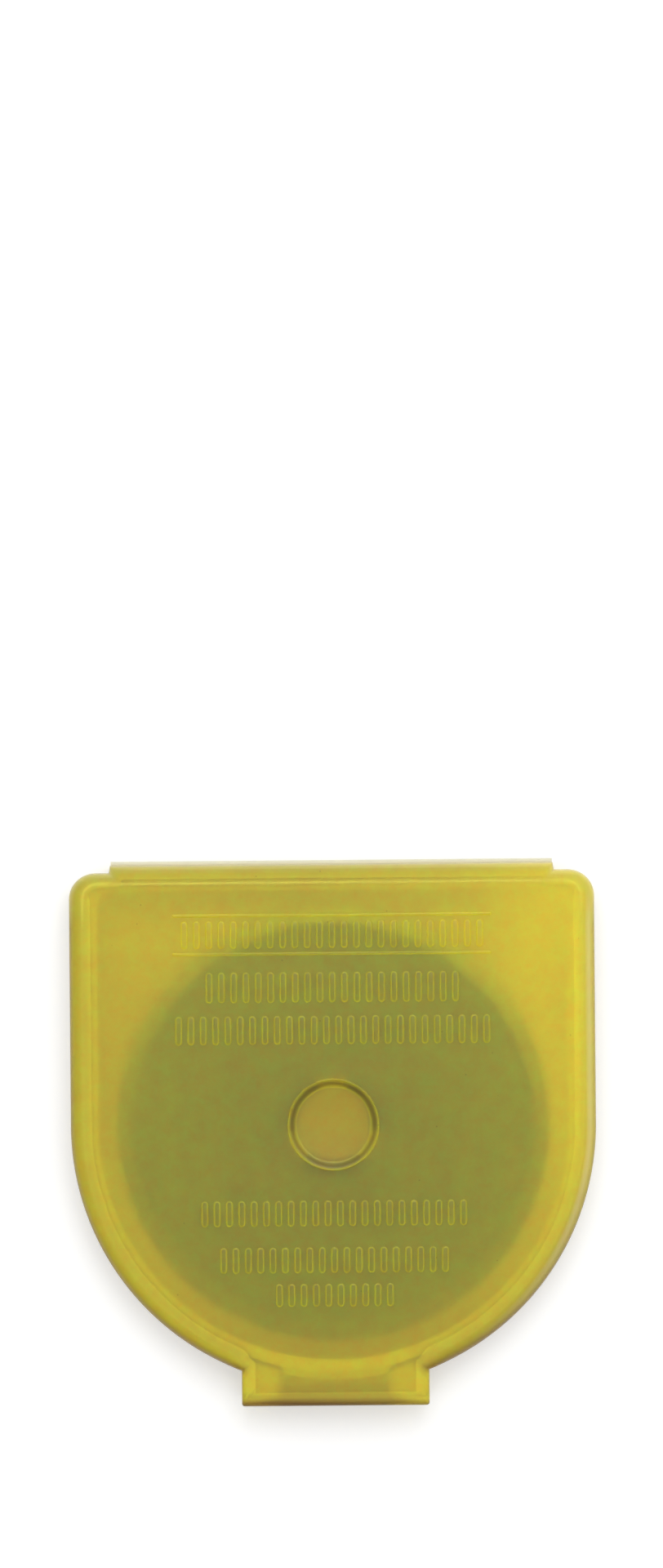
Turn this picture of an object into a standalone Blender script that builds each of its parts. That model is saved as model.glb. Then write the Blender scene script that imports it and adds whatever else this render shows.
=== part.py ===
"""A rotary cutter blade in its moulded storage case, closed.

The case lies on its back: +Z points out of its lid, +Y to its hinge and +X to the right.
The origin is on the blade's axis, on the underside of the case. Lengths are in metres.
"""

import math

import bmesh
import bpy
import numpy as np

MM = 0.001

# The blade: a steel disc, ground on both faces down to its cutting edge.
BLADE_DIAMETER = 45.0 * MM
BLADE_THICKNESS = 0.3 * MM
BEVEL_WIDTH = 1.6 * MM
HONED_WIDTH = 0.25 * MM
HONED_THICKNESS = 0.09 * MM

# The blade's hole: a round bore with three lobes, which lock it to its holder.
HOLE_DIAMETER = 8.0 * MM
LOBE_DEPTH = 0.9 * MM
LOBE_HALF_ANGLE = 21.0
LOBE_CORNER = 0.25 * MM
LOBE_ANGLES = (90.0, 210.0, 330.0)

# The case in plan, from the blade outwards: margin, lip, gap and skirt.
BLADE_MARGIN = 1.9 * MM
LIP_WALL = 1.4 * MM
LIP_GAP = 0.2 * MM
SKIRT_WALL = 1.3 * MM
REAR_LIP_WALL = 0.7 * MM
REAR_SKIRT_WALL = 1.0 * MM
SHOULDER_RADIUS = 2.7 * MM

# The case in height, from its underside.
FLOOR = 1.0 * MM
CAVITY_HEIGHT = 3.4 * MM
ROOF = 1.0 * MM
PARTING_HEIGHT = 2.8 * MM
PARTING_GAP = 0.15 * MM
LIP_RISE = 1.1 * MM

# Rounded edges of the mouldings. The tab and the hinge step have finer ones than the rest.
LID_EDGE_ROUND = 1.3 * MM
BASE_EDGE_ROUND = 1.0 * MM
TAB_EDGE_ROUND = 0.5 * MM
HINGE_EDGE_ROUND = 0.6 * MM
INSIDE_ROUND = 0.4 * MM
LIP_ROUND = 0.3 * MM

# What holds the blade: a seat and boss on the floor, and a ring under the roof.
SEAT_DIAMETER = 14.0 * MM
SEAT_RISE = 0.95 * MM
SEAT_GAP = 0.1 * MM
BOSS_CLEARANCE = 0.1 * MM
BOSS_PROUD = 0.95 * MM
BOSS_CHAMFER = 0.35 * MM
RING_CLEARANCE = 0.2 * MM
RING_WALL = 0.55 * MM
RING_GAP = 0.2 * MM

# The round dimple on the lid, over the ring, and the fine bead about it.
DIMPLE_DEPTH = 0.3 * MM
DIMPLE_DRAFT = 0.35 * MM
BEAD_WIDTH = 0.3 * MM
BEAD_HEIGHT = 0.1 * MM

# The tab at the front, which is pulled up to open the case.
TAB_WIDTH = 19.5 * MM
TAB_LENGTH = 1.9 * MM
TAB_SETBACK = 0.7 * MM

# The catch: a tongue on the base's tab, in a pocket between the cheeks of the lid's tab.
TAB_CHEEK = 3.9 * MM
POCKET_WALL = 0.95 * MM
TONGUE_SIDE_GAP = 0.2 * MM
TONGUE_FRONT_GAP = 0.15 * MM
TONGUE_THICKNESS = 0.8 * MM
TONGUE_RISE = 1.35 * MM
CATCH_DEPTH = 0.22 * MM
CATCH_HEIGHT = 0.5 * MM
CATCH_DROP = 0.5 * MM
CATCH_GAP = 0.1 * MM

# The hinge: a step across the rear, between two bare shoulders, and the thin web that joins the halves.
SHOULDER_FLAT = 0.95 * MM
HINGE_STEP = 0.75 * MM
HINGE_END_SLANT = 0.25 * MM
WEB_THICKNESS = 0.25 * MM
WEB_BEND_RADIUS = 0.2 * MM
WEB_LEG = 0.12 * MM
WEB_ROOT_GAP = 0.08 * MM
WEB_END_INSET = 0.4 * MM
OPEN_GAP = 0.7 * MM

# How finely round forms are divided, and what angle between faces is a real edge.
ARC_STEP = 4.0
CORNER_STEP = 10.0
HOLE_STEP = 6.0
BLADE_STEPS = 120
BOSS_STEPS = 64
ROUND_SEGMENTS = 5
WEB_STEPS = 8
SMOOTH_ANGLE = math.radians(32.0)

# How far a joined form is rooted in what it joins, and how far a cutter runs past what it cuts.
SINK = 0.3 * MM
REACH = 5.0 * MM

# How near two places, or two directions in degrees, count as one.
SAME = 0.001 * MM
SAME_ANGLE = 0.5

# Places worked out from the sizes above.
BLADE_RADIUS = BLADE_DIAMETER / 2
HOLE_RADIUS = HOLE_DIAMETER / 2
CAVITY_RADIUS = BLADE_RADIUS + BLADE_MARGIN
LIP_RADIUS = CAVITY_RADIUS + LIP_WALL
SKIRT_RADIUS = LIP_RADIUS + LIP_GAP
CASE_RADIUS = SKIRT_RADIUS + SKIRT_WALL
LIP_REAR = CAVITY_RADIUS + REAR_LIP_WALL
SKIRT_REAR = LIP_REAR + LIP_GAP
CASE_REAR = SKIRT_REAR + REAR_SKIRT_WALL
HINGE_REAR = CASE_REAR + HINGE_STEP
TAB_FRONT = CASE_RADIUS + TAB_LENGTH

BASE_TOP = PARTING_HEIGHT - PARTING_GAP / 2
LID_BOTTOM = PARTING_HEIGHT + PARTING_GAP / 2
ROOF_BOTTOM = FLOOR + CAVITY_HEIGHT
LID_TOP = ROOF_BOTTOM + ROOF
LIP_TOP = BASE_TOP + LIP_RISE

SEAT_RADIUS = SEAT_DIAMETER / 2
SEAT_TOP = FLOOR + SEAT_RISE
BLADE_BOTTOM = SEAT_TOP + SEAT_GAP
BLADE_TOP = BLADE_BOTTOM + BLADE_THICKNESS
BOSS_RADIUS = HOLE_RADIUS - BOSS_CLEARANCE
BOSS_TOP = BLADE_TOP + BOSS_PROUD
RING_BORE = BOSS_RADIUS + RING_CLEARANCE
RING_RADIUS = RING_BORE + RING_WALL
RING_BOTTOM = BLADE_TOP + RING_GAP

POCKET_WIDTH = TAB_WIDTH - 2 * TAB_CHEEK
POCKET_FRONT = TAB_FRONT - POCKET_WALL
TONGUE_FRONT = POCKET_FRONT - TONGUE_FRONT_GAP
TONGUE_WIDTH = POCKET_WIDTH - 2 * TONGUE_SIDE_GAP
TONGUE_TOP = BASE_TOP + TONGUE_RISE
CATCH_MIDDLE = TONGUE_TOP - CATCH_DROP

HALF_HINGE = CASE_RADIUS - SHOULDER_RADIUS - SHOULDER_FLAT - HINGE_END_SLANT
HINGE_AXIS_Y = HINGE_REAR + OPEN_GAP / 2


def linear(red, green, blue):
    """An sRGB colour, 0 to 255, as the linear RGBA that a shader takes."""
    levels = np.array([red, green, blue]) / 255.0
    low = levels / 12.92
    high = ((levels + 0.055) / 1.055) ** 2.4
    return (*np.where(levels <= 0.04045, low, high), 1.0)


def clear_scene():
    for obj in list(bpy.data.objects):
        bpy.data.objects.remove(obj, do_unlink=True)


def add_collection(name):
    collection = bpy.data.collections.new(name)
    bpy.context.scene.collection.children.link(collection)
    return collection


def add_object(name, data, collection):
    obj = bpy.data.objects.new(name, data)
    collection.objects.link(obj)
    if collection.name == "cutters":
        obj.hide_render = True
        obj.display_type = "WIRE"
    return obj


def add_material(name, color, roughness, metallic=0.0, transmission=0.0):
    material = bpy.data.materials.new(name)
    material.use_nodes = True
    shader = material.node_tree.nodes["Principled BSDF"]
    shader.inputs["Base Color"].default_value = color
    shader.inputs["Roughness"].default_value = roughness
    shader.inputs["Metallic"].default_value = metallic
    shader.inputs["Transmission Weight"].default_value = transmission
    return material


def arc(radius, start, end, center=(0.0, 0.0), step=ARC_STEP):
    """Points on a circle between two angles in degrees, both ends included."""
    count = max(2, round(abs(end - start) / step))
    angles = np.radians(np.linspace(start, end, count + 1))
    return [
        (center[0] + radius * math.cos(a), center[1] + radius * math.sin(a))
        for a in angles
    ]


def case_outline(radius, rear, corner, tab_front=None, hinge_rear=None):
    """The case in plan: a half circle in front, straight sides and a straight rear with round corners.

    tab_front adds the tab there, and hinge_rear the step that carries the hinge.
    """
    half_tab = TAB_WIDTH / 2
    tab_angle = math.degrees(math.acos(half_tab / radius)) if tab_front else 90.0
    points = arc(radius, -tab_angle, 0.0)
    points += arc(corner, 0.0, 90.0, (radius - corner, rear - corner), step=CORNER_STEP)
    if hinge_rear:
        points += [
            (HALF_HINGE + HINGE_END_SLANT, rear),
            (HALF_HINGE, hinge_rear),
            (-HALF_HINGE, hinge_rear),
            (-HALF_HINGE - HINGE_END_SLANT, rear),
        ]
    points += arc(corner, 90.0, 180.0, (corner - radius, rear - corner), step=CORNER_STEP)
    points += arc(radius, 180.0, 180.0 + tab_angle)
    if tab_front:
        points += [(-half_tab, -tab_front), (half_tab, -tab_front)]
    else:
        points.pop()
    return points


def hole_outline():
    """The bore's circle, stepped out to the lobes' circle at each lobe."""
    points = []
    for n, middle in enumerate(LOBE_ANGLES):
        following = LOBE_ANGLES[(n + 1) % len(LOBE_ANGLES)] + 360.0 * (n + 1 == len(LOBE_ANGLES))
        lobe_start = middle - LOBE_HALF_ANGLE
        lobe_end = middle + LOBE_HALF_ANGLE
        points += arc(HOLE_RADIUS + LOBE_DEPTH, lobe_start, lobe_end, step=HOLE_STEP)
        points += arc(HOLE_RADIUS, lobe_end, following - LOBE_HALF_ANGLE, step=HOLE_STEP)
    return points


def slab(name, outline, bottom, top, collection):
    """A flat outline drawn out from one height to another, as a closed mesh with whole end faces."""
    curve = bpy.data.curves.new(name + "_outline", "CURVE")
    curve.dimensions = "2D"
    curve.fill_mode = "BOTH"
    curve.extrude = (top - bottom) / 2
    spline = curve.splines.new("POLY")
    spline.points.add(len(outline) - 1)
    spline.points.foreach_set("co", [c for x, y in outline for c in (x, y, 0.0, 1.0)])
    spline.use_cyclic_u = True
    drawn = add_object(name + "_outline", curve, collection)
    drawn.location.z = (top + bottom) / 2
    bpy.context.view_layer.update()
    graph = bpy.context.evaluated_depsgraph_get()
    mesh = bpy.data.meshes.new_from_object(drawn.evaluated_get(graph))
    mesh.transform(drawn.matrix_world)
    bpy.data.objects.remove(drawn, do_unlink=True)
    shape = bmesh.new()
    shape.from_mesh(mesh)
    bmesh.ops.remove_doubles(shape, verts=shape.verts, dist=SAME)
    bmesh.ops.dissolve_limit(
        shape, angle_limit=math.radians(0.2), verts=shape.verts, edges=shape.edges
    )
    bmesh.ops.recalc_face_normals(shape, faces=shape.faces)
    shape.to_mesh(mesh)
    shape.free()
    mesh.name = name
    return add_object(name, mesh, collection)


def turned(name, profile, steps, collection):
    """A profile of (radius, height) points, turned about the vertical axis.

    It runs down the outer side, top to bottom. One that starts and ends off the axis is closed.
    """
    mesh = bpy.data.meshes.new(name)
    count = len(profile)
    edges = [(n, n + 1) for n in range(count - 1)]
    if profile[0][0] > 0.0:
        edges.append((count - 1, 0))
    mesh.from_pydata([(radius, 0.0, height) for radius, height in profile], edges, [])
    obj = add_object(name, mesh, collection)
    screw = obj.modifiers.new("turn", "SCREW")
    screw.axis = "Z"
    screw.steps = steps
    screw.render_steps = steps
    screw.use_merge_vertices = True
    screw.merge_threshold = SAME
    return obj


def block(name, low, high, collection):
    """A box between two corners."""
    mesh = bpy.data.meshes.new(name)
    shape = bmesh.new()
    bmesh.ops.create_cube(shape, size=1.0)
    size = [b - a for a, b in zip(low, high, strict=True)]
    middle = [(a + b) / 2 for a, b in zip(low, high, strict=True)]
    bmesh.ops.scale(shape, vec=size, verts=shape.verts)
    bmesh.ops.translate(shape, vec=middle, verts=shape.verts)
    shape.to_mesh(mesh)
    shape.free()
    return add_object(name, mesh, collection)


def round_edges(obj, radius_of, segments=ROUND_SEGMENTS):
    """A Bevel on the edges to which radius_of(first end, second end) gives a radius."""
    mesh = obj.data
    ends = [(mesh.vertices[e.vertices[0]].co, mesh.vertices[e.vertices[1]].co) for e in mesh.edges]
    radii = np.array([radius_of(a, b) for a, b in ends])
    weights = mesh.attributes.new("bevel_weight_edge", "FLOAT", "EDGE")
    weights.data.foreach_set("value", radii / radii.max())
    bevel = obj.modifiers.new("round", "BEVEL")
    bevel.limit_method = "WEIGHT"
    bevel.width = radii.max()
    bevel.segments = segments
    bevel.use_clamp_overlap = False


def at_height(height, radius):
    """One radius for the edges that lie at one height."""
    return lambda a, b: radius * (abs(a.z - height) < SAME and abs(b.z - height) < SAME)


def case_rounds(height, radius):
    """The radii round a half's outer face: finer on the tab and across the hinge step."""

    tab_root = -math.sqrt(CASE_RADIUS**2 - (TAB_WIDTH / 2) ** 2)

    def radius_of(a, b):
        on_tab = max(a.y, b.y) < tab_root + SAME
        on_step = min(a.y, b.y) > CASE_REAR - SAME and max(a.y, b.y) > CASE_REAR + SAME
        fine = TAB_EDGE_ROUND if on_tab else HINGE_EDGE_ROUND if on_step else radius
        return at_height(height, min(fine, radius))(a, b)

    return radius_of


def upright(a, b):
    """True for an edge that stands along Z."""
    return abs(a.x - b.x) < SAME and abs(a.y - b.y) < SAME


def combine(obj, other, operation):
    boolean = obj.modifiers.new(other.name, "BOOLEAN")
    boolean.operation = operation
    boolean.solver = "EXACT"
    boolean.object = other


def finish(obj, material):
    """Gives the object its material, and smooth shading that leaves its flat faces flat."""
    obj.data.materials.clear()
    obj.data.materials.append(material)
    if obj.data.polygons:
        obj.data.shade_smooth()
        obj.data.set_sharp_from_angle(angle=SMOOTH_ANGLE)
    normals = obj.modifiers.new("flat faces", "WEIGHTED_NORMAL")
    normals.keep_sharp = True


def make_blade(parts, cutters):
    """The disc turned from its half section, with the lobed hole cut through it."""
    half = BLADE_THICKNESS / 2
    honed = HONED_THICKNESS / 2
    flat = BLADE_RADIUS - BEVEL_WIDTH
    honed_start = BLADE_RADIUS - HONED_WIDTH
    profile = [
        (0.0, half),
        (flat, half),
        (honed_start, honed),
        (BLADE_RADIUS, 0.0),
        (honed_start, -honed),
        (flat, -half),
        (0.0, -half),
    ]
    blade = turned("rotary_blade", profile, BLADE_STEPS, parts)
    blade.location.z = (BLADE_BOTTOM + BLADE_TOP) / 2
    hole = slab("blade_hole", hole_outline(), BLADE_BOTTOM - REACH, BLADE_TOP + REACH, cutters)
    round_edges(hole, lobe_corners, segments=3)
    combine(blade, hole, "DIFFERENCE")
    return blade


def lobe_corners(a, b):
    """The corner radius for the upright edges at the ends of each lobe, on both of its circles."""
    angle = math.degrees(math.atan2(a.y, a.x)) % 360.0
    offsets = [abs(angle - middle) for middle in LOBE_ANGLES]
    at_end = any(abs(offset - LOBE_HALF_ANGLE) < SAME_ANGLE for offset in offsets)
    return LOBE_CORNER * (upright(a, b) and at_end)


def make_base(parts, cutters):
    """The tray: floor, wall and lip, with the blade's seat and boss, the tab and the catch."""
    front = TAB_FRONT - TAB_SETBACK
    outline = case_outline(CASE_RADIUS, CASE_REAR, SHOULDER_RADIUS, front, HINGE_REAR)
    base = slab("case_base", outline, 0.0, BASE_TOP, parts)
    round_edges(base, case_rounds(0.0, min(BASE_EDGE_ROUND, BASE_TOP - SINK)))

    lip_corner = SHOULDER_RADIUS - min(SKIRT_WALL, REAR_SKIRT_WALL)
    lip_outline = case_outline(LIP_RADIUS, LIP_REAR, lip_corner)
    lip = slab("base_lip", lip_outline, BASE_TOP - SINK, LIP_TOP, cutters)
    round_edges(lip, at_height(LIP_TOP, LIP_ROUND), segments=2)
    combine(base, lip, "UNION")

    cavity_outline = case_outline(CAVITY_RADIUS, CAVITY_RADIUS, lip_corner)
    cavity = slab("base_cavity", cavity_outline, FLOOR, LIP_TOP + REACH, cutters)
    round_edges(cavity, at_height(FLOOR, INSIDE_ROUND), segments=3)
    combine(base, cavity, "DIFFERENCE")

    boss_profile = [
        (0.0, BOSS_TOP),
        (BOSS_RADIUS - BOSS_CHAMFER, BOSS_TOP),
        (BOSS_RADIUS, BOSS_TOP - BOSS_CHAMFER),
        (BOSS_RADIUS, SEAT_TOP),
        (SEAT_RADIUS - INSIDE_ROUND, SEAT_TOP),
        (SEAT_RADIUS, SEAT_TOP - INSIDE_ROUND),
        (SEAT_RADIUS, FLOOR - SINK),
        (0.0, FLOOR - SINK),
    ]
    boss = turned("base_boss", boss_profile, BOSS_STEPS, cutters)
    combine(base, boss, "UNION")

    half_tongue = TONGUE_WIDTH / 2
    tongue = block(
        "base_tongue",
        (-half_tongue, -TONGUE_FRONT, BASE_TOP - SINK),
        (half_tongue, -TONGUE_FRONT + TONGUE_THICKNESS, TONGUE_TOP),
        cutters,
    )
    round_edges(tongue, at_height(TONGUE_TOP, TONGUE_THICKNESS / 4), segments=2)
    combine(base, tongue, "UNION")

    half_catch = half_tongue - LIP_ROUND
    catch = catch_ridge("base_catch", TONGUE_FRONT, CATCH_DEPTH, CATCH_HEIGHT, half_catch, cutters)
    combine(base, catch, "UNION")
    return base


def catch_ridge(name, front, depth, height, half_length, collection):
    """A ridge of three-sided section along X, rooted in a face that looks to -Y."""
    profile = [
        (-front + SINK, CATCH_MIDDLE + height / 2),
        (-front, CATCH_MIDDLE + height / 2),
        (-front - depth, CATCH_MIDDLE),
        (-front, CATCH_MIDDLE - height / 2),
        (-front + SINK, CATCH_MIDDLE - height / 2),
    ]
    mesh = bpy.data.meshes.new(name)
    shape = bmesh.new()
    section = [shape.verts.new((-half_length, y, z)) for y, z in profile]
    face = shape.faces.new(section)
    drawn = bmesh.ops.extrude_face_region(shape, geom=[face])
    moved = [v for v in drawn["geom"] if isinstance(v, bmesh.types.BMVert)]
    bmesh.ops.translate(shape, vec=(2 * half_length, 0.0, 0.0), verts=moved)
    bmesh.ops.recalc_face_normals(shape, faces=shape.faces)
    shape.to_mesh(mesh)
    shape.free()
    return add_object(name, mesh, collection)


def make_lid(parts, cutters):
    """The cover: roof and skirt, with the ring over the blade, the dimple and the catch's pocket."""
    outline = case_outline(CASE_RADIUS, CASE_REAR, SHOULDER_RADIUS, TAB_FRONT, HINGE_REAR)
    lid = slab("case_lid", outline, LID_BOTTOM, LID_TOP, parts)
    round_edges(lid, case_rounds(LID_TOP, min(LID_EDGE_ROUND, LID_TOP - LID_BOTTOM - SINK)))

    skirt_corner = SHOULDER_RADIUS - min(SKIRT_WALL, REAR_SKIRT_WALL)
    cavity_outline = case_outline(SKIRT_RADIUS, SKIRT_REAR, skirt_corner)
    cavity = slab("lid_cavity", cavity_outline, LID_BOTTOM - REACH, ROOF_BOTTOM, cutters)
    round_edges(cavity, at_height(ROOF_BOTTOM, INSIDE_ROUND), segments=3)
    combine(lid, cavity, "DIFFERENCE")

    ring_profile = [
        (RING_BORE, ROOF_BOTTOM + SINK),
        (RING_RADIUS, ROOF_BOTTOM + SINK),
        (RING_RADIUS, RING_BOTTOM),
        (RING_BORE, RING_BOTTOM),
    ]
    ring = turned("lid_ring", ring_profile, BOSS_STEPS, cutters)
    combine(lid, ring, "UNION")

    dimple_radius = RING_RADIUS - BEAD_WIDTH / 2
    bead_profile = [
        (RING_RADIUS + BEAD_WIDTH / 4, LID_TOP + BEAD_HEIGHT),
        (RING_RADIUS + BEAD_WIDTH / 2, LID_TOP),
        (RING_RADIUS + BEAD_WIDTH / 2, LID_TOP - SINK),
        (dimple_radius - BEAD_WIDTH, LID_TOP - SINK),
        (dimple_radius - BEAD_WIDTH, LID_TOP + BEAD_HEIGHT),
    ]
    bead = turned("lid_bead", bead_profile, BOSS_STEPS, cutters)
    combine(lid, bead, "UNION")

    dimple_floor = LID_TOP - DIMPLE_DEPTH
    dimple_profile = [
        (0.0, LID_TOP + REACH),
        (dimple_radius + BEAD_WIDTH / 4, LID_TOP + REACH),
        (dimple_radius + BEAD_WIDTH / 4, LID_TOP + BEAD_HEIGHT),
        (dimple_radius, LID_TOP),
        (dimple_radius - DIMPLE_DRAFT, dimple_floor),
        (0.0, dimple_floor),
    ]
    dimple = turned("lid_dimple", dimple_profile, BOSS_STEPS, cutters)
    combine(lid, dimple, "DIFFERENCE")

    half_pocket = POCKET_WIDTH / 2
    pocket = block(
        "lid_pocket",
        (-half_pocket, -POCKET_FRONT, LID_BOTTOM - REACH),
        (half_pocket, -SKIRT_RADIUS / 2, ROOF_BOTTOM),
        cutters,
    )
    combine(lid, pocket, "DIFFERENCE")

    groove_depth = CATCH_DEPTH - TONGUE_FRONT_GAP + CATCH_GAP
    groove_height = CATCH_HEIGHT + 2 * CATCH_GAP
    half_groove = half_pocket - LIP_ROUND / 2
    groove = catch_ridge("lid_groove", POCKET_FRONT, groove_depth, groove_height, half_groove, cutters)
    combine(lid, groove, "DIFFERENCE")
    return lid


def make_hinge_web(parts):
    """The thin strip that joins the halves: a leg from each rear face, and a half circle between them."""
    bend_y = HINGE_REAR + WEB_LEG
    angles = np.linspace(-math.pi / 2, math.pi / 2, WEB_STEPS + 1)
    bend = [
        (bend_y + WEB_BEND_RADIUS * math.cos(a), PARTING_HEIGHT + WEB_BEND_RADIUS * math.sin(a))
        for a in angles
    ]
    root_y = HINGE_REAR + WEB_ROOT_GAP
    section = [(root_y, bend[0][1]), *bend, (root_y, bend[-1][1])]
    half_width = HALF_HINGE - WEB_END_INSET
    mesh = bpy.data.meshes.new("hinge_web")
    shape = bmesh.new()
    start = [shape.verts.new((-half_width, y, z)) for y, z in section]
    edges = [shape.edges.new(pair) for pair in zip(start, start[1:], strict=False)]
    drawn = bmesh.ops.extrude_edge_only(shape, edges=edges)
    moved = [v for v in drawn["geom"] if isinstance(v, bmesh.types.BMVert)]
    bmesh.ops.translate(shape, vec=(2 * half_width, 0.0, 0.0), verts=moved)
    shape.to_mesh(mesh)
    shape.free()
    web = add_object("hinge_web", mesh, parts)
    wall = web.modifiers.new("thickness", "SOLIDIFY")
    wall.thickness = WEB_THICKNESS
    wall.offset = 0.0
    return web


def main():
    clear_scene()
    parts = add_collection("rotary_blade_in_case")
    cutters = add_collection("cutters")
    cutters.hide_render = True

    amber = linear(194, 176, 57)
    blade = make_blade(parts, cutters)
    base = make_base(parts, cutters)
    lid = make_lid(parts, cutters)
    web = make_hinge_web(parts)
    finish(blade, add_material("blade_steel", linear(176, 178, 180), 0.28, metallic=1.0))
    finish(base, add_material("base_polypropylene", amber, 0.4, transmission=0.6))
    finish(lid, add_material("lid_polypropylene", amber, 0.35, transmission=0.6))
    finish(web, add_material("web_polypropylene", amber, 0.4, transmission=0.6))

    hinge = bpy.data.objects.new("lid_hinge_axis", None)
    hinge.location = (0.0, HINGE_AXIS_Y, PARTING_HEIGHT)
    hinge.rotation_euler = (0.0, math.radians(-90.0), 0.0)
    hinge.empty_display_size = HALF_HINGE / 4
    parts.objects.link(hinge)
    bpy.context.view_layer.update()
    lid.parent = hinge
    lid.matrix_parent_inverse = hinge.matrix_world.inverted()


main()
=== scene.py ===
"""A round steel cutter blade in its flat storage case of translucent amber plastic, seen from above.

The case's two halves, the strip of its living hinge and the blade are surfaces worked out as arrays.
Plan sizes and heights are in millimetres, as (x, y) and z in the frame's own directions.
"""

import math

import bmesh
import bpy
import numpy as np
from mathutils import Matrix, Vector
from mathutils.geometry import delaunay_2d_cdt


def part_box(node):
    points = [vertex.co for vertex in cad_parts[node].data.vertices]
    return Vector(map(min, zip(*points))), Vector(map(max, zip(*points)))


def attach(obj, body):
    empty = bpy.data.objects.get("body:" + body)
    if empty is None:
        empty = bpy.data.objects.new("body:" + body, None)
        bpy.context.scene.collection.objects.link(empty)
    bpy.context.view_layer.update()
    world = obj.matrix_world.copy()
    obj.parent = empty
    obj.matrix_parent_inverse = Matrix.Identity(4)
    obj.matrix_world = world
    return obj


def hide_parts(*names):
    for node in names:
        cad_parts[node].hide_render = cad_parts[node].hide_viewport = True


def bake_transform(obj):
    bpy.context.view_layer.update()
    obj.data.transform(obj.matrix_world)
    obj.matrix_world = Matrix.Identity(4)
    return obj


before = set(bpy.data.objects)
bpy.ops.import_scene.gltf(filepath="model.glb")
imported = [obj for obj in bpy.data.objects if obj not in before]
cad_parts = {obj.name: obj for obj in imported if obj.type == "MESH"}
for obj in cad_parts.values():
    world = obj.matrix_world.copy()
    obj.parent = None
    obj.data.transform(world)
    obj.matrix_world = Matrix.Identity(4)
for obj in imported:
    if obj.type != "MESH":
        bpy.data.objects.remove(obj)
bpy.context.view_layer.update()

MM = 0.001

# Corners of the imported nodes, in millimetres.
LID_LOW, LID_HIGH = (np.array(corner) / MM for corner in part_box("case_lid"))
BASE_LOW, BASE_HIGH = (np.array(corner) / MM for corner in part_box("case_base"))
BLADE_LOW, BLADE_HIGH = (np.array(corner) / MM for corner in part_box("rotary_blade"))
WEB_LOW, WEB_HIGH = (np.array(corner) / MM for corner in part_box("hinge_web"))

# The case in plan: skirt of the lid, lip of the base and the room inside, each by its front radius.
CASE_RADIUS = LID_HIGH[0]
SKIRT_WALL = 1.3
REAR_SKIRT_WALL = 1.0
LIP_GAP = 0.2
LIP_WALL = 1.4
SKIRT_RADIUS = CASE_RADIUS - SKIRT_WALL
LIP_RADIUS = SKIRT_RADIUS - LIP_GAP
CAVITY_RADIUS = LIP_RADIUS - LIP_WALL
SHOULDER_RADIUS = 2.7
INNER_CORNER = 1.7

# The rear, which steps out for the hinge, and the strip, which goes a little into both rear faces.
HINGE_REAR = LID_HIGH[1]
HINGE_STEP = 0.75
CASE_REAR = HINGE_REAR - HINGE_STEP
SKIRT_REAR = CASE_REAR - REAR_SKIRT_WALL
LIP_REAR = SKIRT_REAR - LIP_GAP
HALF_HINGE = 23.0
HINGE_SLANT = 0.12
ROOT_DEPTH = 0.06
STRIP_INSET = 0.06
HALF_WEB = WEB_HIGH[0] - STRIP_INSET
WEB_THICKNESS = 0.25

# The tab in front, with the pocket in the lid and the base's tongue in it. The angle is the way along
# the front from the tab's root to the side.
HALF_TAB = 9.75
TAB_CORNER = 0.3
TAB_ROOT_ANGLE = 69.1
LID_TAB_FRONT = -LID_LOW[1]
BASE_TAB_FRONT = -BASE_LOW[1]
HALF_POCKET = 5.85
POCKET_WALL = 0.95
POCKET_FRONT = LID_TAB_FRONT - POCKET_WALL
TONGUE_FRONT_GAP = 0.15
TONGUE_SIDE_GAP = 0.2
TONGUE_FRONT = POCKET_FRONT - TONGUE_FRONT_GAP
HALF_TONGUE = HALF_POCKET - TONGUE_SIDE_GAP
TONGUE_ROUND = 0.2
TONGUE_THICKNESS = 0.8
CATCH_DEPTH = 0.22
GROOVE_DEPTH = 0.17
CATCH_HALF_HEIGHT = 0.25
GROOVE_HALF_HEIGHT = 0.35

# Heights, and the thicknesses and steps between them.
BEAD_HEIGHT = 0.1
ROOF = 1.0
LIP_RISE = 1.1
CATCH_DROP = 0.5
LID_TOP = LID_HIGH[2] - BEAD_HEIGHT
ROOF_BOTTOM = LID_TOP - ROOF
LID_BOTTOM = 2.875
RING_BOTTOM = LID_LOW[2]
BASE_TOP = 2.725
LIP_TOP = BASE_TOP + LIP_RISE
FLOOR_TOP = 1.0
SEAT_TOP = 1.95
BOSS_TOP = 3.3
TONGUE_TOP = BASE_HIGH[2]
CATCH_MIDDLE = TONGUE_TOP - CATCH_DROP

# Rounded edges: the outer ones, which are finer at the tab and the hinge, the small ones, how far
# from the tab the fine one ends, and how far in from the round its tints begin.
LID_EDGE_ROUND = 1.3
BASE_EDGE_ROUND = 1.0
FINE_EDGE_ROUND = 0.5
INSIDE_ROUND = 0.4
LIP_ROUND = 0.3
RIM_ROUND = 0.12
SEAT_CHAMFER = 0.15
RING_CHAMFER = 0.1
BLADE_CHAMFER = 0.03
FINEST_ROUND = 0.03
EDGE_BLEND = 2.5
FADE_START = 1.3

# Round forms about the blade's axis.
RING_RADIUS = 4.65
RING_BORE = 4.1
BEAD_RADIUS = 4.7
BEAD_WIDTH = 0.22
DIMPLE_DEPTH = 0.28
DIMPLE_FLOOR_RADIUS = 3.84
SEAT_RADIUS = 7.0
BOSS_RADIUS = 3.9
BOSS_CHAMFER = 0.35

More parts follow.
